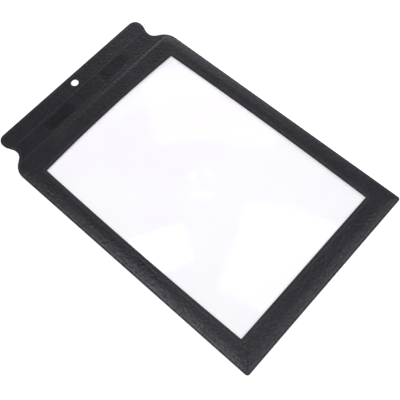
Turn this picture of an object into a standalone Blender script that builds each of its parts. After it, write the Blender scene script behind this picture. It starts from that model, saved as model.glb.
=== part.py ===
"""Full-page reading magnifier: a clear Fresnel sheet welded between two grained PVC skins.

The part lies face up on its back. X runs across the page, +Y towards the grip, +Z up.
The origin is under the middle of the part, on the surface it lies on. Units are metres.
"""

import math

import bmesh
import bpy
from mathutils import Vector

# Overall size
WIDTH = 0.190
LENGTH = 0.294
SKIN = 0.0004
GAP = 0.0001  # between two layers that lie on each other
LENS_THICKNESS = 0.0010

# Outline: square far corners, then a shoulder, a waist and a rounded grip end
FAR_CORNER_RADIUS = 0.0023
WAIST_INSET = 0.0129
WAIST_FROM_FAR_EDGE = 0.2723
SHOULDER_RADIUS = 0.0164
SHOULDER_ANGLE = math.radians(53)
WAIST_LOWER_RADIUS = 0.0087
GRIP_INSET = 0.0093
WAIST_UPPER_RADIUS = 0.0117
GRIP_SWELL_RADIUS = 0.0125
GRIP_ANGLE = math.radians(22.5)
GRIP_CORNER_RADIUS = 0.0070

# Window: straight at the far side, its other three sides bowed outwards
WINDOW_HALF_WIDTH = 0.07725
WINDOW_FAR_MARGIN = 0.0215
WINDOW_LENGTH = 0.2172
WINDOW_SIDE_BOW = 0.0012
WINDOW_GRIP_BOW = 0.0021
BACK_WINDOW_EASE = 0.0005  # the back skin's window is this much larger all round
BOW_STEPS = 12

# Raised border of the front skin, over the edge of the lens
BORDER_FOOT_INSET = 0.0013
BORDER_TOP_INSET = 0.0078
BORDER_FOOT_FROM_FAR_EDGE = 0.2599
BORDER_TOP_FROM_FAR_EDGE = 0.2559
BORDER_CORNER_RADIUS = 0.0020

# Lens sheet
LENS_WIDTH = 0.173
LENS_FAR_MARGIN = 0.0086
LENS_LENGTH = 0.246
LENS_CORNER_RADIUS = 0.0020

# Grip
HOLE_RADIUS = 0.0035
HOLE_FROM_FAR_EDGE = 0.2857
RIBS_FROM_FAR_EDGE = (0.2618, 0.2776)
RIB_WIDTH = 0.0012
RIB_HEIGHT = 0.0003
RIB_END_INSET = 0.0006
HOLLOW_OFFSET = 0.034
HOLLOW_FROM_FAR_EDGE = 0.2698
HOLLOW_LENGTH = 0.0325
HOLLOW_WIDTH = 0.0125
HOLLOW_CORNER_RADIUS = 0.0050
HOLLOW_DEPTH = 0.00015

# Levels
LENS_LOW = SKIN + GAP
LENS_HIGH = LENS_LOW + LENS_THICKNESS
WELD_LOW = SKIN + GAP
WELD_HIGH = WELD_LOW + SKIN
BORDER_HIGH = LENS_HIGH + GAP + SKIN

HALF_WIDTH = WIDTH / 2
HALF_LENGTH = LENGTH / 2
MERGE_DISTANCE = 0.00001


def from_far_edge(distance):
    """The Y of a line that is this distance from the part's far edge."""
    return distance - HALF_LENGTH


def arc(centre, radius, start, end, steps):
    """Points on an arc, both ends included. Angles are in radians from +X."""
    points = []
    for i in range(steps + 1):
        angle = start + (end - start) * i / steps
        points.append((centre[0] + radius * math.cos(angle), centre[1] + radius * math.sin(angle)))
    return points


def with_mirror(right_half):
    """A closed loop from its right half, which runs from the far side to the grip side."""
    left_half = [(-x, y) for x, y in reversed(right_half)]
    return right_half + left_half


def shoulder_centre():
    """Centre of the shoulder's arc, found so that the shoulder runs smoothly into the waist."""
    radii = SHOULDER_RADIUS + WAIST_LOWER_RADIUS
    straight = (WAIST_INSET - radii * (1 - math.cos(SHOULDER_ANGLE))) / math.sin(SHOULDER_ANGLE)
    drop = radii * math.sin(SHOULDER_ANGLE) + straight * math.cos(SHOULDER_ANGLE)
    return HALF_WIDTH - SHOULDER_RADIUS, from_far_edge(WAIST_FROM_FAR_EDGE) - drop


def outline(inset=0.0):
    """The part's outline, or a line that runs inside it by the inset."""
    side = HALF_WIDTH - inset
    waist_y = from_far_edge(WAIST_FROM_FAR_EDGE)
    swell_radii = WAIST_UPPER_RADIUS + GRIP_SWELL_RADIUS
    swell = WAIST_INSET - GRIP_INSET
    straight = (swell - swell_radii * (1 - math.cos(GRIP_ANGLE))) / math.sin(GRIP_ANGLE)
    rise = swell_radii * math.sin(GRIP_ANGLE) + straight * math.cos(GRIP_ANGLE)
    grip_x = HALF_WIDTH - GRIP_INSET

    far_centre = (HALF_WIDTH - FAR_CORNER_RADIUS, FAR_CORNER_RADIUS - HALF_LENGTH)
    lower_centre = (HALF_WIDTH - WAIST_INSET + WAIST_LOWER_RADIUS, waist_y)
    upper_centre = (HALF_WIDTH - WAIST_INSET + WAIST_UPPER_RADIUS, waist_y)
    swell_centre = (grip_x - GRIP_SWELL_RADIUS, waist_y + rise)
    end_centre = (grip_x - GRIP_CORNER_RADIUS, HALF_LENGTH - GRIP_CORNER_RADIUS)

    right = arc(far_centre, side - far_centre[0], -math.pi / 2, 0, 6)
    right += arc(shoulder_centre(), SHOULDER_RADIUS - inset, 0, SHOULDER_ANGLE, 8)
    right += arc(lower_centre, WAIST_LOWER_RADIUS + inset, math.pi + SHOULDER_ANGLE, math.pi, 6)
    right += arc(upper_centre, WAIST_UPPER_RADIUS + inset, math.pi, math.pi - GRIP_ANGLE, 4)[1:]
    right += arc(swell_centre, GRIP_SWELL_RADIUS - inset, -GRIP_ANGLE, 0, 4)
    right += arc(end_centre, GRIP_CORNER_RADIUS - inset, 0, math.pi / 2, 8)
    return with_mirror(right)


def border_line(inset, grip_side_y):
    """A line round the raised border: along the sides and shoulders, then straight across."""
    corner = (HALF_WIDTH - inset - BORDER_CORNER_RADIUS, inset + BORDER_CORNER_RADIUS - HALF_LENGTH)
    centre = shoulder_centre()
    radius = SHOULDER_RADIUS - inset
    end_angle = math.asin((grip_side_y - centre[1]) / radius)
    right = arc(corner, BORDER_CORNER_RADIUS, -math.pi / 2, 0, 4)
    right += arc(centre, radius, 0, end_angle, 8)
    return with_mirror(right)


def window(ease=0.0):
    """The window's edge, anticlockwise from the start of its right side, made larger by an ease."""
    half_width = WINDOW_HALF_WIDTH + ease
    length = WINDOW_LENGTH + 2 * ease
    far_y = from_far_edge(WINDOW_FAR_MARGIN) - ease
    side = []
    for i in range(BOW_STEPS + 1):
        t = 2 * i / BOW_STEPS - 1
        side.append((half_width + WINDOW_SIDE_BOW * (1 - t * t), far_y + length * i / BOW_STEPS))
    top = []
    for i in range(1, BOW_STEPS):
        t = 1 - 2 * i / BOW_STEPS
        top.append((half_width * t, far_y + length + WINDOW_GRIP_BOW * (1 - t * t)))
    return side + top + [(-x, y) for x, y in reversed(side)]


def rounded_rectangle(centre, width, length, radius, steps):
    """A rectangle's outline with round corners, anticlockwise."""
    points = []
    for quarter in range(4):
        angle = quarter * math.pi / 2
        sign_x = 1 if quarter in (0, 3) else -1
        sign_y = 1 if quarter in (0, 1) else -1
        corner = (
            centre[0] + sign_x * (width / 2 - radius),
            centre[1] + sign_y * (length / 2 - radius),
        )
        points += arc(corner, radius, angle, angle + math.pi / 2, steps)
    return points


def hanging_hole():
    """The round hole's edge, without its repeated last point."""
    return arc((0, from_far_edge(HOLE_FROM_FAR_EDGE)), HOLE_RADIUS, 0, 2 * math.pi, 32)[:-1]


def filled_curve_mesh(name, loops, thickness):
    """The mesh of a flat filled curve. A loop inside another one is a hole."""
    curve = bpy.data.curves.new(name, "CURVE")
    curve.dimensions = "2D"
    curve.fill_mode = "BOTH"
    curve.extrude = thickness / 2
    for loop in loops:
        spline = curve.splines.new("POLY")
        spline.points.add(len(loop) - 1)
        spline.use_cyclic_u = True
        for point, (x, y) in zip(spline.points, loop):
            point.co = (x, y, 0, 1)
    holder = bpy.data.objects.new(name, curve)
    bpy.context.scene.collection.objects.link(holder)
    evaluated = holder.evaluated_get(bpy.context.evaluated_depsgraph_get())
    mesh = bpy.data.meshes.new_from_object(evaluated)
    bpy.data.objects.remove(holder)
    return mesh


def weld(bm):
    """Joins the points that coincide, and drops the faces that this makes double."""
    bmesh.ops.remove_doubles(bm, verts=bm.verts, dist=MERGE_DISTANCE)


def add_object(name, mesh, collection, z=0.0):
    """A new object at a height, in a collection."""
    mesh.name = name
    item = bpy.data.objects.new(name, mesh)
    item.location.z = z
    collection.objects.link(item)
    return item


def plate(name, loops, low, high, collection):
    """A flat plate between two heights, with the loops as its outline and holes."""
    mesh = filled_curve_mesh(name, loops, high - low)
    bm = bmesh.new()
    bm.from_mesh(mesh)
    weld(bm)
    bm.to_mesh(mesh)
    bm.free()
    return add_object(name, mesh, collection, (low + high) / 2)


def cutter(item):
    """Marks an object as a tool that only shapes another one."""
    item.hide_render = True
    item.display_type = "WIRE"
    return item


def add_boolean(item, operation, tool):
    """Joins, cuts or limits an object by another one."""
    modifier = item.modifiers.new(operation.title(), "BOOLEAN")
    modifier.operation = operation
    modifier.solver = "EXACT"
    modifier.object = tool


def shade(item):
    """Smooth shading on the round edges, and sharp creases between faces."""
    item.data.shade_smooth()
    item.data.set_sharp_from_angle(angle=math.radians(20))


def pvc_material(name, colour, roughness):
    """Principled material for a skin."""
    material = bpy.data.materials.new(name)
    material.use_nodes = True
    shader = material.node_tree.nodes["Principled BSDF"]
    shader.inputs["Base Color"].default_value = (*colour, 1)
    shader.inputs["Roughness"].default_value = roughness
    shader.inputs["Metallic"].default_value = 0
    return material


def clear_material(name):
    """Principled material for the clear lens sheet."""
    material = pvc_material(name, (0.93, 0.94, 0.97), 0.08)
    shader = material.node_tree.nodes["Principled BSDF"]
    shader.inputs["Transmission Weight"].default_value = 1
    shader.inputs["IOR"].default_value = 1.53
    return material


def raised_skin_surface():
    """The front skin's top surface: welded rim and grip, sloping border, and level border top."""
    foot = border_line(BORDER_FOOT_INSET, from_far_edge(BORDER_FOOT_FROM_FAR_EDGE))
    top = border_line(BORDER_TOP_INSET, from_far_edge(BORDER_TOP_FROM_FAR_EDGE))
    levels = (
        (WELD_HIGH, [outline(), foot, hanging_hole()]),
        (BORDER_HIGH, [top, window()]),
    )
    bm = bmesh.new()
    for height, loops in levels:
        before = set(bm.verts)
        bm.from_mesh(filled_curve_mesh("level", loops, 0))
        raised = [v for v in bm.verts if v not in before]
        bmesh.ops.translate(bm, verts=raised, vec=Vector((0, 0, height)))

    rings = []
    for loop, height in ((foot, WELD_HIGH), (top, BORDER_HIGH)):
        ring = [bm.verts.new((x, y, height)) for x, y in loop]
        rings.append([bm.edges.new((ring[i - 1], ring[i])) for i in range(len(ring))])
    bmesh.ops.bridge_loops(bm, edges=rings[0] + rings[1])
    weld(bm)

    bm.normal_update()
    bmesh.ops.reverse_faces(bm, faces=[f for f in bm.faces if f.normal.z < 0])
    mesh = bpy.data.meshes.new("front_cover")
    bm.to_mesh(mesh)
    bm.free()
    return mesh


def make_rib(name, y, limit, tools):
    """A low round-topped rib across the grip, which ends just inside the outline."""
    radius = (RIB_WIDTH**2 / 4 + RIB_HEIGHT**2) / (2 * RIB_HEIGHT)
    mesh = bpy.data.meshes.new(name)
    bm = bmesh.new()
    bmesh.ops.create_cone(bm, cap_ends=True, segments=48, radius1=radius, radius2=radius, depth=WIDTH)
    bm.to_mesh(mesh)
    bm.free()
    rib = add_object(name, mesh, tools, WELD_HIGH + RIB_HEIGHT - radius)
    rib.location.y = y
    rib.rotation_euler.y = math.pi / 2
    add_boolean(rib, "INTERSECT", limit)
    return cutter(rib)


def make_front_cover(parts, tools):
    """The front skin, formed over the lens edge, with ribs and thumb hollows on its grip."""
    cover = add_object("front_cover", raised_skin_surface(), parts)
    solidify = cover.modifiers.new("Skin", "SOLIDIFY")
    solidify.thickness = SKIN
    solidify.offset = -1
    solidify.use_even_offset = True

    limit = cutter(plate("rib_limit", [outline(RIB_END_INSET)], WELD_HIGH - SKIN / 2, BORDER_HIGH, tools))
    for number, distance in enumerate(RIBS_FROM_FAR_EDGE):
        add_boolean(cover, "UNION", make_rib(f"rib_{number}", from_far_edge(distance), limit, tools))
    for number, side in enumerate((-1, 1)):
        centre = (side * HOLLOW_OFFSET, from_far_edge(HOLLOW_FROM_FAR_EDGE))
        shape = rounded_rectangle(centre, HOLLOW_LENGTH, HOLLOW_WIDTH, HOLLOW_CORNER_RADIUS, 6)
        hollow = plate(f"hollow_{number}", [shape], WELD_HIGH - HOLLOW_DEPTH, BORDER_HIGH, tools)
        add_boolean(cover, "DIFFERENCE", cutter(hollow))
    return cover


def make_back_cover(parts):
    """The flat back skin, with the front's outline and hole, and a slightly larger window."""
    return plate("back_cover", [outline(), window(BACK_WINDOW_EASE), hanging_hole()], 0, SKIN, parts)


def make_lens(parts):
    """The clear sheet. Its edge lies between the skins all round."""
    centre_y = from_far_edge(LENS_FAR_MARGIN + LENS_LENGTH / 2)
    shape = rounded_rectangle((0, centre_y), LENS_WIDTH, LENS_LENGTH, LENS_CORNER_RADIUS, 4)
    return plate("fresnel_lens", [shape], LENS_LOW, LENS_HIGH, parts)


def main():
    for item in list(bpy.data.objects):
        bpy.data.objects.remove(item)
    parts = bpy.data.collections.new("page_magnifier")
    tools = bpy.data.collections.new("cutters")
    bpy.context.scene.collection.children.link(parts)
    bpy.context.scene.collection.children.link(tools)

    finishes = (
        (make_front_cover(parts, tools), pvc_material("front_pvc", (0.022, 0.021, 0.026), 0.5)),
        (make_back_cover(parts), pvc_material("back_pvc", (0.020, 0.019, 0.023), 0.6)),
        (make_lens(parts), clear_material("lens_pvc")),
    )
    for item, material in finishes:
        item.data.materials.append(material)
        shade(item)


main()
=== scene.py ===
import math

import bmesh
import bpy
import numpy as np
from mathutils import Matrix, Vector


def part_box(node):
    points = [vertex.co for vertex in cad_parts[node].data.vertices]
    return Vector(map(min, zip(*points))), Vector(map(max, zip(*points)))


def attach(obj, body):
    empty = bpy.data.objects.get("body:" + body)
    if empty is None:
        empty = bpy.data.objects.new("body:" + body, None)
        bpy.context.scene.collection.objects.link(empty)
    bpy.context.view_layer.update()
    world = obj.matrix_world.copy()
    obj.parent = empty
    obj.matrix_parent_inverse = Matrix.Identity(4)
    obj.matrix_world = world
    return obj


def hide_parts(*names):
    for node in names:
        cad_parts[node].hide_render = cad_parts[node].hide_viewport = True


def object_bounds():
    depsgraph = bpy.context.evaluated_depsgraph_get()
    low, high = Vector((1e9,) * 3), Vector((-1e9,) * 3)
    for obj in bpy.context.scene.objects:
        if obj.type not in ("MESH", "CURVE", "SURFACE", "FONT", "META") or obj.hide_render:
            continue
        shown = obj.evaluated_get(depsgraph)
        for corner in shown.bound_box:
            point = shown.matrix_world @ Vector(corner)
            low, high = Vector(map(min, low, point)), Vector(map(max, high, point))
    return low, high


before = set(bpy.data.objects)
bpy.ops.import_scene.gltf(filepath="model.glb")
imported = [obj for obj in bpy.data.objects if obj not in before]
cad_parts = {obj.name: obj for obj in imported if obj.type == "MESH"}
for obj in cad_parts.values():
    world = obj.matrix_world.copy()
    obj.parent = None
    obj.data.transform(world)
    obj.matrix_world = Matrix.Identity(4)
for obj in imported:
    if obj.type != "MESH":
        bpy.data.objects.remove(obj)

# Looks of the page magnifier: two grained PVC skins welded round a grooved clear sheet.
# Everything is in metres, in the CAD model's frame: +Y towards the grip, +Z up.

CAD_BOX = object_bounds()
MM = 0.001

cover_low, cover_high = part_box("front_cover")
back_low, back_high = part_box("back_cover")
lens_low, lens_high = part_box("fresnel_lens")

HALF_WIDTH = cover_high.x
HALF_LENGTH = cover_high.y
SKIN = back_high.z - back_low.z
WELD_LOW = cover_low.z
WELD_TOP = WELD_LOW + SKIN
BORDER_TOP = cover_high.z
BORDER_LOW = BORDER_TOP - SKIN

# Outline, as in the CAD model
FAR_CORNER_RADIUS = 2.3 * MM
WAIST_INSET = 12.9 * MM
WAIST_Y = 272.3 * MM - HALF_LENGTH
SHOULDER_RADIUS = 16.4 * MM
SHOULDER_ANGLE = math.radians(53)
WAIST_LOWER_RADIUS = 8.7 * MM
GRIP_INSET = 9.3 * MM
WAIST_UPPER_RADIUS = 11.7 * MM
GRIP_SWELL_RADIUS = 12.5 * MM
GRIP_ANGLE = math.radians(22.5)
GRIP_CORNER_RADIUS = 7.0 * MM
HOLE_RADIUS = 3.5 * MM
HOLE_Y = 285.7 * MM - HALF_LENGTH
HOLE_BLEND = 4.5 * MM  # how far round the hole the grid bends to fit it

# Window, as in the CAD model
WINDOW_HALF_WIDTH = 77.25 * MM
WINDOW_FAR_Y = 21.5 * MM - HALF_LENGTH
WINDOW_LENGTH = 217.2 * MM
WINDOW_SIDE_BOW = 1.2 * MM
WINDOW_GRIP_BOW = 2.1 * MM
BACK_WINDOW_EASE = 0.5 * MM

# Formed relief of the front skin
BORDER_GRIP_TOP_Y = 255.9 * MM - HALF_LENGTH
BORDER_GRIP_FOOT_Y = 259.9 * MM - HALF_LENGTH
BORDER_CORNER_SOFTNESS = 0.9 * MM
SLOPE_SPREAD = 1.6 * MM  # half the length of the slope to the grip, at its right end
SLOPE_FADE = 0.9  # how much longer the slope is at the middle, as a share
RIB_YS = (261.8 * MM - HALF_LENGTH, 277.6 * MM - HALF_LENGTH)
RIB_HEIGHT = 0.16 * MM
RIB_SPREAD = 0.6 * MM
TROUGH_DEPTH = 0.05 * MM  # how far the grip sags between the ribs
RIB_END_BAND = (0.2 * MM, 1.6 * MM)  # the ribs and the sag fade out here, in from the outline
OUTER_SEAM_HEIGHT = 0.12 * MM
WINDOW_SEAM_HEIGHT = 0.18 * MM
SEAM_SPREAD = 0.52 * MM
OUTER_SEAM_INSET = 2.0 * MM
WINDOW_SEAM_INSET = 2.75 * MM
HOLLOW_X = 34.0 * MM
HOLLOW_Y = 269.8 * MM - HALF_LENGTH
HOLLOW_HALF_LENGTH = 16.25 * MM
HOLLOW_HALF_WIDTH = 6.25 * MM
HOLLOW_CORNER_RADIUS = 5.0 * MM
HOLLOW_DEPTH = 0.10 * MM
HOLLOW_WALL = (-0.7 * MM, 1.5 * MM)  # the hollow's sides, in from its outline
WINDOW_DIP = 0.08 * MM
WINDOW_DIP_BAND = (0.2 * MM, 2.6 * MM)
WAVE_HEIGHT = 0.012 * MM
WAVE_BAND = (0.5 * MM, 3 * MM)  # the waves fade in here, in from the outline
OUTER_EDGE_RADIUS = 0.16 * MM
WINDOW_EDGE_RADIUS = 0.10 * MM
PLATEAU_ROOM = 0.13 * MM  # kept free under the CAD box for seams and waviness

# How steep the border's slope is, at distances in mm from the outer edge
BORDER_STEEPNESS = (
    (0.0, 0.02),
    (1.0, 0.06),
    (1.9, 0.30),
    (2.6, 0.17),
    (6.0, 0.14),
    (7.6, 0.09),
    (9.5, 0.0),
)

# Slight waves of the skins: turns along X and Y in radians per metre, and a phase
WAVES = (
    (61, 17, 0.3),
    (-23, 71, 1.9),
    (113, -57, 4.1),
    (149, 131, 2.2),
)

# Inside of the front skin, under the border's slope
INSIDE_FOOT_INSET = 2.6 * MM
INSIDE_FOOT_Y = BORDER_GRIP_FOOT_Y - 0.5 * MM
INSIDE_TOP_INSET = 8.2 * MM
INSIDE_TOP_Y = BORDER_GRIP_TOP_Y - 0.8 * MM

# Relief of the back skin's underside
BACK_SEAM_HEIGHT = 0.07 * MM
BACK_WAVE_HEIGHT = 0.010 * MM
BACK_OUTER_EDGE_RADIUS = 0.15 * MM
BACK_INNER_EDGE_RADIUS = 0.12 * MM

# Bands of the skins' grid, and the grid's steps in them. The back skin widens the steps
# by its coarseness, except right at the window's edge and the outer edge.
OUTER_EDGE_BAND = 0.3 * MM
OUTER_EDGE_STEP = 0.1 * MM
OUTER_SLOPE_BAND = 3.2 * MM
OUTER_SLOPE_STEP = 0.33 * MM
BORDER_STEP = 0.55 * MM
SEAM_BAND = 1.2 * MM
GRIP_SEAM_BAND = 1.8 * MM
SEAM_STEP = 0.24 * MM
WINDOW_RIM_STEP = 0.35 * MM
WINDOW_EDGE_BAND = 0.18 * MM
WINDOW_EDGE_STEP = 0.09 * MM
INNER_BAND = 3 * MM
INNER_STEP = 0.4 * MM
OPEN_STEP = 0.75 * MM
PLATEAU_STEP = 0.6 * MM
RIB_BAND = 1.5 * MM
SLOPE_STEP = 0.27 * MM
RIB_STEP = 0.22 * MM
GRIP_STEP = 0.5 * MM
END_BAND = 2.6 * MM
END_STEP = 0.4 * MM
END_ARC_BAND = 2.5 * MM  # the rows follow the grip corners' curve this near the end
FRONT_COARSENESS = 1.0
BACK_COARSENESS = 1.7

# Where the materials change, and how much of the weld lines' pale colour the window's rim and
# the ribs get, which on the rim is painted highlight and on the ribs is partly painted
# highlight. A weld line is 1.
TROUGH_BAND = 1.6 * MM
TROUGH_PRESSED = 0.28
WINDOW_RIM_BAND = (2.0 * MM, 2.8 * MM)
RIM_PAINTED_HIGHLIGHT = 0.60
RIB_WELD_AND_HIGHLIGHT = 0.7
# bands along the cut edges that get painted shade and duller gloss
OUTER_CUT_BAND = 0.55 * MM
WINDOW_CUT_BAND = 0.40 * MM

# Lens
GAP_OVER_LENS = 0.02 * MM
GROOVE_PITCH = 0.5 * MM
GROOVE_SLOPE_SHARE = 0.94  # of the pitch, the rest is the groove's steep side
GROOVE_STEEPNESS_PER_METRE = 3.6
GROOVE_SEGMENTS = 144
GROOVE_MARGIN = 2.0 * MM
LENS_CORNER_RADIUS = 2 * MM
LENS_CENTRE_Y = WINDOW_FAR_Y + WINDOW_LENGTH / 2

# Meshes in general
CREASE_ANGLE = math.radians(42)  # sharper edges than this are shaded as creases
ON_CUT = 1e-7  # points this near a cut count as on it
SAME_POINT = 1e-5

# Black PVC: noise scales per metre, and each noise's share of the grain's height
STIR_SCALE = 900.0
STIR_REACH = (0.0007, 0.0007, 0.0)
PEBBLE_SCALE = 850.0
CREASE_SCALE = 520.0
FINE_SCALE = 5200.0
MOTTLE_SCALE = 430.0
SWELL_SCALE = 400.0
PATCH_SCALE = 34.0
SCUFF_SCALE = 210.0
PEBBLE_SHARE = 0.50
VALLEY_SHARE = 0.35
FINE_SHARE = 0.07
SWELL_SHARE = 2.50
FRONT_GRAIN = 0.12 * MM
BACK_GRAIN = 0.08 * MM

# Black PVC: how much smoother or glossier its places are, and how much painted shade darkens the
# pressed places
WELD_SMOOTHING = 0.6
PRESSED_SMOOTHING = 0.35
PRESSED_GLOSS = 0.05
PRESSED_PAINTED_SHADE = 0.15
FRONT_ROUGHNESS = 0.375
BACK_ROUGHNESS = 0.42
PATCH_ROUGHNESS = 0.07
MOTTLE_ROUGHNESS = 0.08
SCUFF_ROUGHNESS = 0.5
CUT_ROUGHNESS = 0.20
SCUFF_MOST = 0.06
WELD_AND_HIGHLIGHT_MOST = 0.8
CUT_EDGE_SHADE_MOST = 0.9

# Black PVC: colours, and the parts of each noise's range that are used
PVC_COLOUR = (0.0078, 0.0070, 0.0106)
DARKEST = 0.30
LIGHTEST = 1.90
SCUFF_COLOUR = (0.050, 0.048, 0.053, 1)
# pale colour of the weld lines, ribs and window rim: partly the welds' own paler colour, partly
# painted highlight
WELD_AND_HIGHLIGHT_COLOUR = (0.0420, 0.0395, 0.0465, 1)
# painted shade on the cut edges and the skins' walls
CUT_EDGE_SHADE_COLOUR = (0.0030, 0.0028, 0.0034, 1)
PATCH_RANGE = (0.35, 0.65)
PATCH_TONE = (0.06, 0.26)
MOTTLE_RANGE = (0.40, 0.60)
MOTTLE_TONE = (0.0, 0.80)
WELD_MOTTLE_RANGE = (0.38, 0.60)
WELD_MOTTLE_TONE = (0.45, 1.0)
# painted shade: the grain's creases are darker and the tops between them lighter
VALLEY_PAINTED_SHADE = (0.65, 1.1)
SCUFF_RANGE = (0.60, 0.74)

# Clear PVC
LILAC_TINT = (0.957, 0.952, 0.956, 1)
GREEN_TINT = (0.959, 0.960, 0.957, 1)
CLEAR_TINT = (0.966, 0.963, 0.961, 1)
MIRROR_COLOUR = (0.9, 0.9, 0.95, 1)
MIRROR_ROUGHNESS = (0.05, 0.13)
HEAD_ON_MIRROR = 0.04  # share of light that is mirrored when seen straight on

# Camera
CAMERA_POSITION = Vector((-0.1694, -0.2017, 0.5118))
CAMERA_BACK = Vector((-0.27892, -0.31384, 0.90759))
CAMERA_UP = Vector((0.68746, 0.59464, 0.41689))
CAMERA_LENS_MM = 61.69

# Studio
FLOOR_COLOUR = (0.80, 0.80, 0.80)
FLOOR_ROUGHNESS = 0.9
FLOOR_GLOSS = 0.2
FLOOR_GLOW = 0.58
FLOOR_MIDDLE = 0.6
FLOOR_FLAT = 1.5
FLOOR_CURVE = 0.75
FLOOR_CURVE_STEPS = 12
FLOOR_SEGMENTS = 96
FLOOR_DROP = 0.05 * MM
WORLD_STRENGTH = 0.14
LIGHT_COLOUR = (0.985, 0.965, 1.06)
LIGHT_DISTANCE = 1.5

# Name, direction from the part, width, height and watts of each soft light
SOFTBOXES = (
    ("softbox_left", (-0.41, 0.23, 0.88), 0.49, 1.00, 8.7),
    ("softbox_near", (0.23, -0.53, 0.81), 1.26, 1.27, 9.9),
    ("softbox_behind", (0.72, 0.57, 0.39), 1.32, 1.05, 6.8),
)


# ---------------------------------------------------------------- outline

def arc(centre, radius, start, end, steps):
    """Points on an arc, both ends included. Angles are in radians from +X."""
    angles = np.linspace(start, end, steps + 1)
    return [(centre[0] + radius * math.cos(a), centre[1] + radius * math.sin(a)) for a in angles]


def side_line():
    """The right side of the outline, from the far corner's start to the grip corner's end."""
    radii = SHOULDER_RADIUS + WAIST_LOWER_RADIUS
    straight = (WAIST_INSET - radii * (1 - math.cos(SHOULDER_ANGLE))) / math.sin(SHOULDER_ANGLE)
    shoulder_y = WAIST_Y - radii * math.sin(SHOULDER_ANGLE) - straight * math.cos(SHOULDER_ANGLE)

    radii = WAIST_UPPER_RADIUS + GRIP_SWELL_RADIUS
    swell = WAIST_INSET - GRIP_INSET
    straight = (swell - radii * (1 - math.cos(GRIP_ANGLE))) / math.sin(GRIP_ANGLE)
    swell_y = WAIST_Y + radii * math.sin(GRIP_ANGLE) + straight * math.cos(GRIP_ANGLE)

    grip_x = HALF_WIDTH - GRIP_INSET
    waist_x = HALF_WIDTH - WAIST_INSET
    far_centre = (HALF_WIDTH - FAR_CORNER_RADIUS, FAR_CORNER_RADIUS - HALF_LENGTH)
    shoulder_centre = (HALF_WIDTH - SHOULDER_RADIUS, shoulder_y)
    lower_centre = (waist_x + WAIST_LOWER_RADIUS, WAIST_Y)
    upper_centre = (waist_x + WAIST_UPPER_RADIUS, WAIST_Y)
    swell_centre = (grip_x - GRIP_SWELL_RADIUS, swell_y)
    end_centre = (grip_x - GRIP_CORNER_RADIUS, HALF_LENGTH - GRIP_CORNER_RADIUS)

    line = arc(far_centre, FAR_CORNER_RADIUS, -math.pi / 2, 0, 12)
    line += arc(shoulder_centre, SHOULDER_RADIUS, 0, SHOULDER_ANGLE, 24)
    line += arc(lower_centre, WAIST_LOWER_RADIUS, math.pi + SHOULDER_ANGLE, math.pi, 16)
    line += arc(upper_centre, WAIST_UPPER_RADIUS, math.pi, math.pi - GRIP_ANGLE, 12)[1:]
    line += arc(swell_centre, GRIP_SWELL_RADIUS, -GRIP_ANGLE, 0, 12)
    line += arc(end_centre, GRIP_CORNER_RADIUS, 0, math.pi / 2, 24)
    return np.array(line)


class Window:
    """The window's edge, made larger all round by an ease."""

    def __init__(self, ease):
        self.half_width = WINDOW_HALF_WIDTH + ease
        self.far_y = WINDOW_FAR_Y - ease
        self.grip_y = WINDOW_FAR_Y + WINDOW_LENGTH + ease
        self.centre_y = (self.far_y + self.grip_y) / 2

    def side_bow(self, y):
        """How far the long sides bow outwards at each Y."""
        t = ((y - self.centre_y) / (self.grip_y - self.centre_y)).clip(-1, 1)
        return WINDOW_SIDE_BOW * (1 - t * t)

    def grip_bow(self, x):
        """How far the grip side bows outwards at each X."""
        t = (x / self.half_width).clip(-1, 1)
        return WINDOW_GRIP_BOW * (1 - t * t)

    def half_line(self):
        """The right half of the edge, from the middle of the far side to the grip side's."""
        ys = np.linspace(self.far_y, self.grip_y, 40)
        xs = np.linspace(self.half_width, 0, 30)
        side = np.column_stack((self.half_width + self.side_bow(ys), ys))
        top = np.column_stack((xs, self.grip_y + self.grip_bow(xs)))
        return np.vstack(([(0, self.far_y)], side, top))


def distance_to_line(x, y, line):
    """Each point's distance to an open line of points."""
    nearest = np.full(x.shape, 1e9)
    for (ax, ay), (bx, by) in zip(line[:-1], line[1:]):
        dx, dy = bx - ax, by - ay
        length_squared = dx * dx + dy * dy
        if length_squared < 1e-16:
            continue
        t = (((x - ax) * dx + (y - ay) * dy) / length_squared).clip(0, 1)
        nearest = np.minimum(nearest, np.hypot(x - ax - t * dx, y - ay - t * dy))
    return nearest


def smooth_least(*distances, softness):
    """The least of several distances, with the corner between them rounded."""
    total = sum(np.exp(-d / softness) for d in distances)
    return (-softness * np.log(total)).clip(0, None)


# ---------------------------------------------------------------- relief

def bump_line(distance, height, spread):
    """A low round ridge along the line where the distance is zero."""
    return height * np.exp(-((distance / spread) ** 2))


def round_edge(distance, radius):
    """How far a rounded edge falls, by the distance in from it."""
    t = (1 - distance / radius).clip(0, 1)
    return radius * (1 - np.sqrt(1 - t * t))


def smooth_step(value, low, high):
    """0 below low, 1 above high, and smooth between."""
    t = ((value - low) / (high - low)).clip(0, 1)
    return t * t * (3 - 2 * t)


def border_rise(distance):
    """Share of the border's height reached at a distance in from the outer edge."""
    fine = np.linspace(0, BORDER_STEEPNESS[-1][0], 400)
    slope = np.interp(fine, *zip(*BORDER_STEEPNESS))
    height = np.concatenate(([0], np.cumsum((slope[1:] + slope[:-1]) / 2)))
    return np.interp(distance / MM, fine, height / height[-1])


def hollow_depth(x, y):
    """0 outside the two thumb hollows, 1 on their floors."""
    from_middle_x = np.abs(np.abs(x) - HOLLOW_X)
    from_middle_y = np.abs(y - HOLLOW_Y)
    over_x = (from_middle_x - HOLLOW_HALF_LENGTH + HOLLOW_CORNER_RADIUS).clip(0, None)
    over_y = (from_middle_y - HOLLOW_HALF_WIDTH + HOLLOW_CORNER_RADIUS).clip(0, None)
    inside = HOLLOW_CORNER_RADIUS - np.hypot(over_x, over_y)
    return smooth_step(inside, *HOLLOW_WALL)


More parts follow.
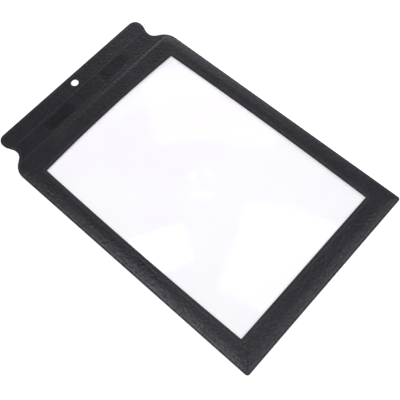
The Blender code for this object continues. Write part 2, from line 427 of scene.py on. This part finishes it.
def grip_slope(x, y):
    """0 on the border and 1 on the grip. The slope between them is gentler on the left."""
    middle = (BORDER_GRIP_TOP_Y + BORDER_GRIP_FOOT_Y) / 2
    spread = SLOPE_SPREAD * (1 + SLOPE_FADE * (1 - x / HALF_WIDTH))
    return smooth_step(y, middle - spread, middle + spread)


def waviness(x, y):
    """The slight waves of a soft moulded skin, between -1 and 1."""
    total = sum(np.sin(kx * x + ky * y + phase) for kx, ky, phase in WAVES)
    return total / len(WAVES)


class Skin:
    """A grid over the skin's shape, with the window and the hanging hole left out."""

    def __init__(self, coarseness, window_ease):
        self.window = Window(window_ease)
        columns = self.column_lines(coarseness)
        rows = self.row_lines(coarseness)
        u, v = np.meshgrid(columns, rows)
        x, y = self.fitted(u, v)
        used, faces = np.unique(self.kept_faces(u, v), return_inverse=True)
        self.faces = faces.reshape(-1, 4)
        self.x, self.y = x.ravel()[used], y.ravel()[used]
        self.measure()

    def kept_faces(self, u, v):
        """The grid's squares outside the window and the hole, by their four corners."""
        middle_u = (u[:-1, :-1] + u[1:, 1:]) / 2
        middle_v = (v[:-1, :-1] + v[1:, 1:]) / 2
        in_sides = np.abs(middle_u) < self.window.half_width
        in_window = in_sides & (middle_v > self.window.far_y) & (middle_v < self.window.grip_y)
        in_hole = (np.abs(middle_u) < HOLE_RADIUS) & (np.abs(middle_v - HOLE_Y) < HOLE_RADIUS)
        row, column = np.nonzero(~(in_window | in_hole))
        count = u.shape[1]
        corner = row * count + column
        return np.column_stack((corner, corner + 1, corner + count + 1, corner + count))

    @staticmethod
    def lines(stops):
        """Grid lines through a list of (place, step up to the next place)."""
        parts = []
        for (start, step), (end, _) in zip(stops[:-1], stops[1:]):
            parts.append(np.linspace(start, end, max(1, round((end - start) / step)) + 1)[:-1])
        parts.append([stops[-1][0]])
        return np.concatenate(parts)

    def column_lines(self, coarse):
        """The X of the grid's columns: fine at the edges and seams, coarser between."""
        edge = self.window.half_width
        seam = edge + WINDOW_SEAM_INSET
        right = self.lines([
            (0, GRIP_STEP * coarse),
            (HOLE_RADIUS, GRIP_STEP * coarse),
            (HOLE_RADIUS + HOLE_BLEND, OPEN_STEP * coarse),
            (edge - INNER_BAND, INNER_STEP * coarse),
            (edge, WINDOW_EDGE_STEP),
            (edge + WINDOW_EDGE_BAND, WINDOW_RIM_STEP * coarse),
            (seam - SEAM_BAND, SEAM_STEP * coarse),
            (seam + SEAM_BAND, BORDER_STEP * coarse),
            (HALF_WIDTH - OUTER_SLOPE_BAND, OUTER_SLOPE_STEP * coarse),
            (HALF_WIDTH - OUTER_EDGE_BAND, OUTER_EDGE_STEP),
            (HALF_WIDTH, OUTER_EDGE_STEP),
        ])
        return np.concatenate((-right[:0:-1], right))

    def row_lines(self, coarse):
        """The Y of the grid's rows: fine at corners, seams, ribs and slope, coarser between."""
        end_arc = GRIP_CORNER_RADIUS * (1 - np.sin(np.linspace(0, math.pi / 2, 15)))
        far_arc = FAR_CORNER_RADIUS * (1 - np.sin(np.linspace(0, math.pi / 2, 9)))
        far_y, grip_y = self.window.far_y, self.window.grip_y
        far_seam = far_y - WINDOW_SEAM_INSET
        grip_seam = grip_y + WINDOW_SEAM_INSET
        middle = self.lines([
            (FAR_CORNER_RADIUS - HALF_LENGTH, OUTER_SLOPE_STEP * coarse),
            (OUTER_SLOPE_BAND - HALF_LENGTH, BORDER_STEP * coarse),
            (far_seam - SEAM_BAND, SEAM_STEP * coarse),
            (far_seam + SEAM_BAND, WINDOW_RIM_STEP * coarse),
            (far_y - WINDOW_EDGE_BAND, WINDOW_EDGE_STEP),
            (far_y, INNER_STEP * coarse),
            (far_y + INNER_BAND, OPEN_STEP * coarse),
            (grip_y - INNER_BAND, INNER_STEP * coarse),
            (grip_y, WINDOW_EDGE_STEP),
            (grip_y + WINDOW_EDGE_BAND, WINDOW_RIM_STEP * coarse),
            (grip_seam - SEAM_BAND, SEAM_STEP * coarse),
            (grip_seam + GRIP_SEAM_BAND, PLATEAU_STEP * coarse),
            (BORDER_GRIP_TOP_Y - RIB_BAND, SLOPE_STEP * coarse),
            (RIB_YS[0] + RIB_BAND, GRIP_STEP * coarse),
            (RIB_YS[1] - RIB_BAND, RIB_STEP * coarse),
            (RIB_YS[1] + RIB_BAND, GRIP_STEP * coarse),
            (HOLE_Y - HOLE_RADIUS, GRIP_STEP * coarse),
            (HOLE_Y + HOLE_RADIUS, END_STEP * coarse),
            (HALF_LENGTH - END_BAND, END_STEP * coarse),
        ])
        end_rows = HALF_LENGTH - end_arc[end_arc < END_ARC_BAND]
        far_rows = far_arc[::-1][:-1] - HALF_LENGTH
        return np.concatenate((far_rows, middle, end_rows))

    def fitted(self, u, v):
        """Moves the straight grid onto the bowed window, round hole and waisted outline."""
        window = self.window
        half = np.abs(u)
        outside = ((HALF_WIDTH - half) / (HALF_WIDTH - window.half_width)).clip(0, 1)
        share = np.where(half > window.half_width, outside, half / window.half_width)
        x = u + np.sign(u) * window.side_bow(v) * share
        above = ((v - window.grip_y) / (BORDER_GRIP_TOP_Y - window.grip_y)).clip(0, 1)
        below = ((v - window.centre_y) / (window.grip_y - window.centre_y)).clip(0, 1)
        y = v + window.grip_bow(u) * np.where(v > window.grip_y, 1 - above, below)

        line = side_line()
        x = x * np.interp(y, line[:, 1], line[:, 0]) / HALF_WIDTH

        from_hole = v - HOLE_Y
        square = np.maximum(half, np.abs(from_hole))
        straight = np.maximum(np.hypot(u, from_hole), 1e-9)
        blend = ((HOLE_RADIUS + HOLE_BLEND - square) / HOLE_BLEND).clip(0, 1) ** 2
        pull = 1 + blend * (square / straight - 1)
        near = square < HOLE_RADIUS + HOLE_BLEND
        x = np.where(near, u * pull, x)
        y = np.where(near, HOLE_Y + from_hole * pull, y)
        return x, y

    def measure(self):
        """Distances from each point to the outline, the window and the hole."""
        half = np.abs(self.x)
        to_side = distance_to_line(half, self.y, side_line())
        to_far = self.y + HALF_LENGTH
        to_end = HALF_LENGTH - self.y
        self.to_outline = np.minimum(to_side, np.minimum(to_far, to_end)).clip(0, None)
        self.to_soft_outline = smooth_least(
            to_side, to_far, to_end, softness=BORDER_CORNER_SOFTNESS
        )
        self.to_window = distance_to_line(half, self.y, self.window.half_line())
        self.to_hole = (np.hypot(self.x, self.y - HOLE_Y) - HOLE_RADIUS).clip(0, None)


def seams(skin):
    """How much of a weld line is at each point, from 0 to 1."""
    outer = bump_line(skin.to_outline - OUTER_SEAM_INSET, 1, SEAM_SPREAD)
    inner = bump_line(skin.to_window - WINDOW_SEAM_INSET, 1, SEAM_SPREAD)
    return np.maximum(outer, inner)


def front_height(skin):
    """Height of the front skin's top surface."""
    y = skin.y
    rise = border_rise(skin.to_soft_outline) * (1 - grip_slope(skin.x, y))
    height = WELD_TOP + (BORDER_TOP - PLATEAU_ROOM - WELD_TOP) * rise
    height += bump_line(skin.to_outline - OUTER_SEAM_INSET, OUTER_SEAM_HEIGHT, SEAM_SPREAD)
    height += bump_line(skin.to_window - WINDOW_SEAM_INSET, WINDOW_SEAM_HEIGHT, SEAM_SPREAD)
    ends = smooth_step(skin.to_outline, *RIB_END_BAND)
    for rib_y in RIB_YS:
        height += bump_line(y - rib_y, RIB_HEIGHT, RIB_SPREAD) * ends
    middle = (RIB_YS[0] + RIB_YS[1]) / 2
    t = ((y - middle) / (RIB_YS[1] - middle)).clip(-1, 1)
    height -= TROUGH_DEPTH * (1 - t * t) * ends
    height -= HOLLOW_DEPTH * hollow_depth(skin.x, y)
    height += WAVE_HEIGHT * waviness(skin.x, y) * smooth_step(skin.to_outline, *WAVE_BAND)
    height -= round_edge(skin.to_outline, OUTER_EDGE_RADIUS)
    height -= WINDOW_DIP * (1 - smooth_step(skin.to_window, *WINDOW_DIP_BAND))
    height -= round_edge(skin.to_window, WINDOW_EDGE_RADIUS)
    height -= round_edge(skin.to_hole, OUTER_EDGE_RADIUS)
    return np.minimum(height, BORDER_TOP)


def back_height(skin):
    """Height of the back skin's underside, which touches what the part lies on."""
    height = BACK_SEAM_HEIGHT * seams(skin)
    height += BACK_WAVE_HEIGHT * (1 + waviness(skin.x, skin.y))
    height += round_edge(skin.to_outline, BACK_OUTER_EDGE_RADIUS)
    height += round_edge(skin.to_window, BACK_INNER_EDGE_RADIUS)
    height += round_edge(skin.to_hole, BACK_INNER_EDGE_RADIUS)
    return height + back_low.z


# ---------------------------------------------------------------- meshes

def add_values(mesh, name, values):
    """Stores a number for each point, for the materials to read."""
    mesh.attributes.new(name, "FLOAT", "POINT")
    mesh.attributes[name].data.foreach_set("value", np.asarray(values, np.float32))


def boundary_loops(bm):
    """The closed loops of points along the edges that have one face, in a fixed order."""
    bm.verts.index_update()
    bm.verts.ensure_lookup_table()
    beside = {}
    for edge in bm.edges:
        if len(edge.link_faces) == 1:
            for v in edge.verts:
                beside.setdefault(v.index, []).append(edge.other_vert(v).index)
    loops = []
    seen = set()
    for start in sorted(beside):
        loop = []
        at = None if start in seen else start
        while at is not None:
            seen.add(at)
            loop.append(bm.verts[at])
            at = next((i for i in sorted(beside[at]) if i not in seen), None)
        if loop:
            loops.append(loop)
    return loops


def wall(bm, loop, height):
    """A wall from a loop of points to copies of them at a height. Returns the copies."""
    copies = [bm.verts.new((v.co.x, v.co.y, height)) for v in loop]
    for i in range(len(loop)):
        bm.faces.new((loop[i - 1], loop[i], copies[i], copies[i - 1]))
    return copies


def ring_edges(bm, ring):
    """The edges along a closed ring of points, made where they are missing."""
    edges = []
    for i in range(len(ring)):
        pair = (ring[i - 1], ring[i])
        edges.append(bm.edges.get(pair) or bm.edges.new(pair))
    return edges


def finish_mesh(bm, name):
    """Faces outwards, smooth shading with sharp creases, and an object for the mesh."""
    bmesh.ops.recalc_face_normals(bm, faces=bm.faces)
    mesh = bpy.data.meshes.new(name)
    bm.to_mesh(mesh)
    bm.free()
    mesh.shade_smooth()
    mesh.set_sharp_from_angle(angle=CREASE_ANGLE)
    item = bpy.data.objects.new(name, mesh)
    bpy.context.scene.collection.objects.link(item)
    return item


def reach_of(loop):
    """How far a loop reaches along X, to tell the outline, the window and the hole apart."""
    return max(abs(v.co.x) for v in loop)


def border_ring(bm, inset, grip_y, height):
    """A coarse ring under the border's slope, which follows the sides and the shoulders."""
    side = side_line()
    kept = (side[:, 1] > FAR_CORNER_RADIUS - HALF_LENGTH) & (side[:, 1] < grip_y)
    end_x = np.interp(grip_y, side[:, 1], side[:, 0])
    right = [(HALF_WIDTH - inset, inset - HALF_LENGTH)]
    right += [(x - inset, y) for x, y in side[kept]]
    right.append((end_x - inset, grip_y))
    ring = right + [(-x, y) for x, y in reversed(right)]
    return [bm.verts.new((x, y, height)) for x, y in ring]


def start_skin(skin, heights):
    """A bmesh of the grid at its heights, and its loops: outline, window and hole."""
    mesh = bpy.data.meshes.new("grid")
    points = np.column_stack((skin.x, skin.y, heights))
    mesh.from_pydata(points.tolist(), [], skin.faces.tolist())
    bm = bmesh.new()
    bm.from_mesh(mesh)
    bpy.data.meshes.remove(mesh)
    outline, window, hole = sorted(boundary_loops(bm), key=reach_of, reverse=True)
    return bm, outline, window, hole


def make_front():
    """The front skin: its formed and grained top, its cut edges and its plain inside."""
    skin = Skin(FRONT_COARSENESS, window_ease=0.0)
    bm, outline, window, hole = start_skin(skin, front_height(skin))
    low_outline = wall(bm, outline, WELD_LOW)
    low_window = wall(bm, window, lens_high.z + GAP_OVER_LENS)
    low_hole = wall(bm, hole, WELD_LOW)
    foot = border_ring(bm, INSIDE_FOOT_INSET, INSIDE_FOOT_Y, WELD_LOW)
    top = border_ring(bm, INSIDE_TOP_INSET, INSIDE_TOP_Y, BORDER_LOW)
    flat = ring_edges(bm, low_outline) + ring_edges(bm, low_hole) + ring_edges(bm, foot)
    bmesh.ops.triangle_fill(bm, use_beauty=True, edges=flat, normal=(0, 0, -1))
    level = ring_edges(bm, low_window) + ring_edges(bm, top)
    bmesh.ops.triangle_fill(bm, use_beauty=True, edges=level, normal=(0, 0, -1))
    bmesh.ops.bridge_loops(bm, edges=ring_edges(bm, foot) + ring_edges(bm, top))
    item = finish_mesh(bm, "grained_front")
    describe(item, skin)
    return item


def make_back():
    """The flat back skin, with its weld lines on the underside."""
    skin = Skin(BACK_COARSENESS, window_ease=BACK_WINDOW_EASE)
    bm, outline, window, hole = start_skin(skin, back_height(skin))
    edges = []
    for loop in (outline, window, hole):
        edges += ring_edges(bm, wall(bm, loop, back_high.z))
    bmesh.ops.triangle_fill(bm, use_beauty=True, edges=edges, normal=(0, 0, 1))
    item = finish_mesh(bm, "grained_back")
    describe(item, skin)
    return item


def describe(item, skin):
    """Stores where the weld lines, the ribs, the window's rim, the pressed places and the cut
    edges are, for the grain, the gloss, the painted highlight and the painted shade.
    """
    extra = len(item.data.vertices) - len(skin.x)
    zeros, ones = np.zeros(extra), np.ones(extra)
    trough = smooth_step(skin.y, RIB_YS[0], RIB_YS[0] + TROUGH_BAND)
    trough *= 1 - smooth_step(skin.y, RIB_YS[1] - TROUGH_BAND, RIB_YS[1])
    pressed = np.maximum(hollow_depth(skin.x, skin.y), TROUGH_PRESSED * trough)
    ribs = sum(bump_line(skin.y - rib_y, 1, RIB_SPREAD) for rib_y in RIB_YS)
    # a band along the window's rim gets the weld lines' pale colour as a painted highlight
    rim = 1 - smooth_step(skin.to_window, *WINDOW_RIM_BAND)
    pale = np.maximum(np.maximum(seams(skin), RIB_WELD_AND_HIGHLIGHT * ribs), RIM_PAINTED_HIGHLIGHT * rim)
    # where painted shade and duller gloss go along the cut edges; the walls get them fully
    to_outer_cut = np.minimum(skin.to_outline, skin.to_hole)
    outer_cut = 1 - smooth_step(to_outer_cut, 0, OUTER_CUT_BAND)
    window_cut = 1 - smooth_step(skin.to_window, 0, WINDOW_CUT_BAND)
    cut = np.maximum(outer_cut, window_cut)
    add_values(item.data, "weld", np.concatenate((pale, zeros)))
    add_values(item.data, "pressed", np.concatenate((pressed, zeros)))
    add_values(item.data, "cut_edge", np.concatenate((cut, ones)))


def groove_rings(reach):
    """(radius, height) along one radius of the grooved face, out to the reach."""
    rings = []
    for number in range(int(reach / GROOVE_PITCH) + 1):
        inner = number * GROOVE_PITCH
        depth = GROOVE_PITCH * GROOVE_STEEPNESS_PER_METRE * (inner + GROOVE_PITCH / 2)
        if number:
            rings.append((inner, lens_high.z))
        rings.append((inner + GROOVE_SLOPE_SHARE * GROOVE_PITCH, lens_high.z - depth))
    return rings


def grooved_disc(reach):
    """A bmesh of the grooved face as a round disc that reaches a radius."""
    rings = groove_rings(reach)
    angles = np.arange(GROOVE_SEGMENTS) * 2 * math.pi / GROOVE_SEGMENTS
    turns = [(math.cos(a), math.sin(a)) for a in angles]
    points = [(0, LENS_CENTRE_Y, lens_high.z)]
    for radius, height in rings:
        points += [(radius * c, LENS_CENTRE_Y + radius * s, height) for c, s in turns]
    faces = [(0, 1 + i, 1 + (i + 1) % GROOVE_SEGMENTS) for i in range(GROOVE_SEGMENTS)]
    for ring in range(len(rings) - 1):
        inner = 1 + ring * GROOVE_SEGMENTS
        outer = inner + GROOVE_SEGMENTS
        for i in range(GROOVE_SEGMENTS):
            after = (i + 1) % GROOVE_SEGMENTS
            faces.append((inner + i, outer + i, outer + after, inner + after))

    mesh = bpy.data.meshes.new("grooves")
    mesh.from_pydata(points, [], faces)
    bm = bmesh.new()
    bm.from_mesh(mesh)
    bpy.data.meshes.remove(mesh)
    return bm


def cut_to_rectangle(bm, half_x, half_y):
    """Cuts the disc to a rectangle round the lens's centre."""
    cuts = (
        ((half_x, 0, 0), (1, 0, 0)),
        ((-half_x, 0, 0), (-1, 0, 0)),
        ((0, LENS_CENTRE_Y + half_y, 0), (0, 1, 0)),
        ((0, LENS_CENTRE_Y - half_y, 0), (0, -1, 0)),
    )
    for place, direction in cuts:
        bmesh.ops.bisect_plane(
            bm,
            geom=bm.verts[:] + bm.edges[:] + bm.faces[:],
            dist=ON_CUT,
            plane_co=place,
            plane_no=direction,
            clear_outer=True,
        )


def make_lens():
    """The clear sheet: a face of concentric grooves, a plain border and a flat back."""
    half_x = WINDOW_HALF_WIDTH + WINDOW_SIDE_BOW + GROOVE_MARGIN
    half_y = WINDOW_LENGTH / 2 + WINDOW_GRIP_BOW + GROOVE_MARGIN
    bm = grooved_disc(math.hypot(half_x, half_y))
    cut_to_rectangle(bm, half_x, half_y)
    grooved = boundary_loops(bm)[0]
    for v in grooved:
        v.co.z = lens_high.z

    sheet = []
    radius = LENS_CORNER_RADIUS
    for quarter in range(4):
        angle = quarter * math.pi / 2
        cx = lens_high.x - radius if quarter in (0, 3) else lens_low.x + radius
        cy = lens_high.y - radius if quarter in (0, 1) else lens_low.y + radius
        sheet += arc((cx, cy), radius, angle, angle + math.pi / 2, 6)
    rim = [bm.verts.new((x, y, lens_high.z)) for x, y in sheet]
    edges = ring_edges(bm, rim) + ring_edges(bm, grooved)
    bmesh.ops.triangle_fill(bm, use_beauty=True, edges=edges, normal=(0, 0, 1))
    bm.faces.new(wall(bm, rim, lens_low.z))
    return finish_mesh(bm, "grooved_lens")


# ---------------------------------------------------------------- materials

class Nodes:
    """Short calls for building a material's node tree."""

    def __init__(self, name):
        self.material = bpy.data.materials.new(name)
        self.material.use_nodes = True
        self.tree = self.material.node_tree
        self.tree.nodes.clear()

    def add(self, kind, **settings):
        """A new node of a kind, with its settings."""
        node = self.tree.nodes.new(kind)
        for key, value in settings.items():
            setattr(node, key, value)
        return node

    def join(self, source, target):
        """A link from an output to an input."""
        self.tree.links.new(source, target)

    def feed(self, socket, value):
        """Links an output to a socket, or sets the socket to a plain value."""
        if isinstance(value, bpy.types.NodeSocket):
            self.join(value, socket)
        else:
            socket.default_value = value

    def set(self, node, **values):
        """Feeds a node's sockets by name, with _ for each space."""
        for key, value in values.items():
            self.feed(node.inputs[key.replace("_", " ")], value)

    def math(self, operation, first, second, clamp=False):
        """The result of a math node."""
        node = self.add("ShaderNodeMath", operation=operation, use_clamp=clamp)
        self.feed(node.inputs[0], first)
        self.feed(node.inputs[1], second)
        return node.outputs[0]

    def remap(self, value, low, high, to_low, to_high):
        """The value, with the range low to high moved to another range and clamped there."""
        node = self.add("ShaderNodeMapRange")
        self.set(node, Value=value, From_Min=low, From_Max=high, To_Min=to_low, To_Max=to_high)
        return node.outputs["Result"]

    def attribute(self, name):
        """A number that the mesh stores for each point."""
        return self.add("ShaderNodeAttribute", attribute_name=name).outputs["Fac"]

    def noise(self, vector, scale, detail, roughness):
        """Smooth noise, mostly between 0.3 and 0.7."""
        node = self.add("ShaderNodeTexNoise")
        self.set(node, Vector=vector, Scale=scale, Detail=detail, Roughness=roughness)
        return node.outputs["Fac"]

    def colour_mix(self, factor, first, second):
        """The first colour at factor 0, the second at 1."""
        node = self.add("ShaderNodeMix", data_type="RGBA")
        self.feed(node.inputs[0], factor)
        self.feed(node.inputs[6], first)
        self.feed(node.inputs[7], second)
        return node.outputs[2]

    def finish(self, shader_output):
        """Joins the shader to the material's surface, and returns the material."""
        output = self.add("ShaderNodeOutputMaterial")
        self.join(shader_output, output.inputs["Surface"])
        return self.material


class Leather:
    """The values over the surface that black PVC's grain, colour and gloss are made of."""

    def __init__(self, n):
        place = n.add("ShaderNodeTexCoord").outputs["Object"]
        stir = n.add("ShaderNodeTexNoise")
        n.set(stir, Vector=place, Scale=STIR_SCALE, Detail=1.0)
        shift = n.add("ShaderNodeVectorMath", operation="MULTIPLY_ADD")
        n.join(stir.outputs["Color"], shift.inputs[0])
        shift.inputs[1].default_value = STIR_REACH
        n.join(place, shift.inputs[2])
        stirred = shift.outputs[0]

        cells = n.add("ShaderNodeTexVoronoi", feature="SMOOTH_F1")
        n.set(cells, Vector=stirred, Scale=PEBBLE_SCALE, Smoothness=0.35)
        creases = n.add("ShaderNodeTexVoronoi", feature="DISTANCE_TO_EDGE")
        n.set(creases, Vector=stirred, Scale=CREASE_SCALE)
        self.pebble = n.remap(cells.outputs["Distance"], 0.0, 0.7, 1.0, 0.0)
        self.valley = n.remap(creases.outputs["Distance"], 0.0, 0.16, 0.0, 1.0)
        self.fine = n.noise(place, FINE_SCALE, 3.0, 0.6)
        self.mottle = n.noise(stirred, MOTTLE_SCALE, 4.0, 0.7)
        self.swell = n.noise(stirred, SWELL_SCALE, 1.0, 0.4)
        self.patches = n.noise(place, PATCH_SCALE, 4.0, 0.55)
        scuffs = n.noise(place, SCUFF_SCALE, 5.0, 0.65)
        self.worn = n.remap(scuffs, *SCUFF_RANGE, 0.0, SCUFF_MOST)

        self.weld = n.attribute("weld")
        self.pressed = n.attribute("pressed")
        self.cut_edge = n.attribute("cut_edge")


def leather_normal(n, leather, grain_height):
    """The grain's normals, which are flatter on weld lines and pressed places."""
    grain = n.math("MULTIPLY", leather.pebble, PEBBLE_SHARE)
    for noise, share in (
        (leather.valley, VALLEY_SHARE),
        (leather.fine, FINE_SHARE),
        (leather.swell, SWELL_SHARE),
    ):
        grain = n.math("ADD", grain, n.math("MULTIPLY", noise, share))
    weld_smooth = n.math("MULTIPLY", leather.weld, WELD_SMOOTHING)
    pressed_smooth = n.math("MULTIPLY", leather.pressed, PRESSED_SMOOTHING)
    smooth = n.math("MAXIMUM", weld_smooth, pressed_smooth)
    grain = n.math("MULTIPLY", grain, n.math("SUBTRACT", 1.0, smooth))
    bump = n.add("ShaderNodeBump")
    n.set(bump, Strength=1.0, Distance=grain_height, Height=grain)
    return bump.outputs["Normal"]


def leather_colour(n, leather):
    """Mottled black with painted shade in the grain's creases, light scuffs, pale weld lines and
    ribs that are partly painted highlight, a painted highlight on the window's rim, and painted
    shade on the pressed places and the cut edges.
    """
    dark = tuple(DARKEST * c for c in PVC_COLOUR) + (1,)
    light = tuple(LIGHTEST * c for c in PVC_COLOUR) + (1,)
    patch_tone = n.remap(leather.patches, *PATCH_RANGE, *PATCH_TONE)
    mottle_tone = n.remap(leather.mottle, *MOTTLE_RANGE, *MOTTLE_TONE)
    tone = n.math("ADD", patch_tone, mottle_tone)
    # painted shade in the grain's creases: darker along them, lighter between them
    valley_shade = n.remap(leather.valley, 0.0, 1.0, *VALLEY_PAINTED_SHADE)
    tone = n.math("MULTIPLY", tone, valley_shade, clamp=True)
    base = n.colour_mix(tone, dark, light)
    base = n.colour_mix(leather.worn, base, SCUFF_COLOUR)
    broken = n.remap(leather.mottle, *WELD_MOTTLE_RANGE, *WELD_MOTTLE_TONE)
    # paler weld lines and ribs, partly painted highlight, and a painted highlight on the
    # window's rim
    pale_and_highlight = n.math("MULTIPLY", n.math("MULTIPLY", leather.weld, broken), WELD_AND_HIGHLIGHT_MOST)
    base = n.colour_mix(pale_and_highlight, base, WELD_AND_HIGHLIGHT_COLOUR)
    # painted shade: the thumb hollows and the grip's trough are darkened
    base = n.colour_mix(n.math("MULTIPLY", leather.pressed, PRESSED_PAINTED_SHADE), base, dark)
    # painted shade along the cut edges and on the walls
    return n.colour_mix(n.math("MULTIPLY", leather.cut_edge, CUT_EDGE_SHADE_MOST), base, CUT_EDGE_SHADE_COLOUR)


def leather_roughness(n, leather, roughness):
    """Uneven gloss, which is evener and stronger on pressed places and duller on cut edges."""
    patchy = n.remap(leather.patches, *PATCH_RANGE, 0.0, PATCH_ROUGHNESS)
    mottled = n.remap(leather.mottle, *MOTTLE_RANGE, MOTTLE_ROUGHNESS, -MOTTLE_ROUGHNESS)
    uneven = n.math("ADD", patchy, mottled)
    uneven = n.math("MULTIPLY", uneven, n.math("SUBTRACT", 1.0, leather.pressed))
    rough = n.math("ADD", roughness - PATCH_ROUGHNESS / 2, uneven)
    rough = n.math("ADD", rough, n.math("MULTIPLY", leather.worn, SCUFF_ROUGHNESS))
    rough = n.math("ADD", rough, n.math("MULTIPLY", leather.cut_edge, CUT_ROUGHNESS))
    gloss = n.math("MULTIPLY", leather.pressed, PRESSED_GLOSS)
    return n.math("SUBTRACT", rough, gloss, clamp=True)


def pvc(name, roughness, grain_height):
    """Black PVC with a leather grain, pale weld lines that are partly painted highlight, pressed
    places, and painted shade on the grain's creases, the pressed places and the cut edges.
    """
    n = Nodes(name)
    leather = Leather(n)
    shader = n.add("ShaderNodeBsdfPrincipled")
    n.join(leather_colour(n, leather), shader.inputs["Base Color"])
    n.join(leather_roughness(n, leather, roughness), shader.inputs["Roughness"])
    n.join(leather_normal(n, leather, grain_height), shader.inputs["Normal"])
    shader.inputs["IOR"].default_value = 1.5
    return n.finish(shader.outputs[0])


def clear_sheet(name):
    """Clear PVC: it passes nearly all light, mirrors a little, and has a faint tint."""
    n = Nodes(name)
    place = n.add("ShaderNodeTexCoord").outputs["Object"]
    drift = n.remap(n.noise(place, 9.0, 2.0, 0.5), 0.38, 0.62, 0.0, 1.0)
    blotch = n.noise(place, 31.0, 3.0, 0.6)
    tint = n.colour_mix(drift, LILAC_TINT, GREEN_TINT)
    tint = n.colour_mix(n.remap(blotch, 0.45, 0.70, 0.0, 0.45), tint, CLEAR_TINT)
    through = n.add("ShaderNodeBsdfTransparent")
    n.join(tint, through.inputs["Color"])
    mirror = n.add("ShaderNodeBsdfPrincipled")
    mirror.inputs["Base Color"].default_value = MIRROR_COLOUR
    mirror.inputs["Metallic"].default_value = 1.0
    roughness = n.remap(blotch, 0.3, 0.7, *MIRROR_ROUGHNESS)
    n.join(roughness, mirror.inputs["Roughness"])

    facing = n.add("ShaderNodeLayerWeight").outputs["Facing"]
    glancing = n.math("MULTIPLY", 1 - HEAD_ON_MIRROR, n.math("POWER", facing, 5.0))
    mix = n.add("ShaderNodeMixShader")
    n.join(n.math("ADD", HEAD_ON_MIRROR, glancing), mix.inputs[0])
    n.join(through.outputs[0], mix.inputs[1])
    n.join(mirror.outputs[0], mix.inputs[2])
    return n.finish(mix.outputs[0])


def floor_white():
    """The even white of the studio floor, which glows a little."""
    n = Nodes("floor_white")
    shader = n.add("ShaderNodeBsdfPrincipled")
    shader.inputs["Base Color"].default_value = (*FLOOR_COLOUR, 1)
    shader.inputs["Roughness"].default_value = FLOOR_ROUGHNESS
    shader.inputs["Specular IOR Level"].default_value = FLOOR_GLOSS
    shader.inputs["Emission Color"].default_value = (*FLOOR_COLOUR, 1)
    shader.inputs["Emission Strength"].default_value = FLOOR_GLOW
    return n.finish(shader.outputs[0])


# ---------------------------------------------------------------- studio

def make_floor():
    """A round white floor that curves up into a low wall all round."""
    profile = [(0.0, 0.0), (FLOOR_MIDDLE, 0.0), (FLOOR_FLAT, 0.0)]
    for step in range(1, FLOOR_CURVE_STEPS + 1):
        angle = step * math.pi / 2 / FLOOR_CURVE_STEPS
        reach = FLOOR_FLAT + FLOOR_CURVE * math.sin(angle)
        profile.append((reach, FLOOR_CURVE * (1 - math.cos(angle))))
    bm = bmesh.new()
    verts = [bm.verts.new((r, 0, z)) for r, z in profile]
    edges = [bm.edges.new(pair) for pair in zip(verts[:-1], verts[1:])]
    bmesh.ops.spin(
        bm,
        geom=verts + edges,
        cent=(0, 0, 0),
        axis=(0, 0, 1),
        angle=2 * math.pi,
        steps=FLOOR_SEGMENTS,
    )
    bmesh.ops.remove_doubles(bm, verts=bm.verts, dist=SAME_POINT)
    bmesh.ops.recalc_face_normals(bm, faces=bm.faces)
    mesh = bpy.data.meshes.new("studio_floor")
    bm.to_mesh(mesh)
    bm.free()
    mesh.shade_smooth()
    mesh.materials.append(floor_white())
    floor = bpy.data.objects.new("studio_floor", mesh)
    floor.location.z = CAD_BOX[0][2] - FLOOR_DROP
    bpy.context.scene.collection.objects.link(floor)


def add_softbox(name, direction, width, height, strength):
    """A rectangular soft light that faces the middle of the part."""
    lamp = bpy.data.lights.new(name, "AREA")
    lamp.shape = "RECTANGLE"
    lamp.size = width
    lamp.size_y = height
    lamp.energy = strength
    lamp.color = LIGHT_COLOUR
    holder = bpy.data.objects.new(name, lamp)
    holder.visible_camera = False
    holder.location = Vector(direction).normalized() * LIGHT_DISTANCE
    holder.rotation_euler = holder.location.to_track_quat("Z", "Y").to_euler()
    bpy.context.scene.collection.objects.link(holder)


def make_camera():
    """The camera at the photograph's viewing angle."""
    data = bpy.data.cameras.new("camera")
    data.lens = CAMERA_LENS_MM
    data.sensor_width = 36
    data.clip_start = 0.01
    camera = bpy.data.objects.new("camera", data)
    back = CAMERA_BACK.normalized()
    right = CAMERA_UP.cross(back).normalized()
    up = back.cross(right)
    turn = Matrix((right, up, back)).transposed().to_4x4()
    camera.matrix_world = Matrix.Translation(CAMERA_POSITION) @ turn
    bpy.context.scene.collection.objects.link(camera)
    bpy.context.scene.camera = camera


def make_world():
    """An even pale surround."""
    world = bpy.data.worlds.new("studio")
    world.use_nodes = True
    background = world.node_tree.nodes["Background"]
    background.inputs["Color"].default_value = (1, 1, 1, 1)
    background.inputs["Strength"].default_value = WORLD_STRENGTH
    bpy.context.scene.world = world


make_camera()
make_world()
make_floor()
for softbox in SOFTBOXES:
    add_softbox(*softbox)
bpy.context.scene.view_settings.view_transform = "Standard"

front_pvc = pvc("grained_pvc", FRONT_ROUGHNESS, FRONT_GRAIN)
back_pvc = pvc("grained_pvc_back", BACK_ROUGHNESS, BACK_GRAIN)
lens_pvc = clear_sheet("clear_grooved_pvc")
pieces = (
    (make_front(), "front_cover", "front_pvc", front_pvc),
    (make_back(), "back_cover", "back_pvc", back_pvc),
    (make_lens(), "fresnel_lens", "lens_pvc", lens_pvc),
)
for item, node, slot, material in pieces:
    item.data.materials.append(material)
    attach(item, "root")
    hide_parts(node)
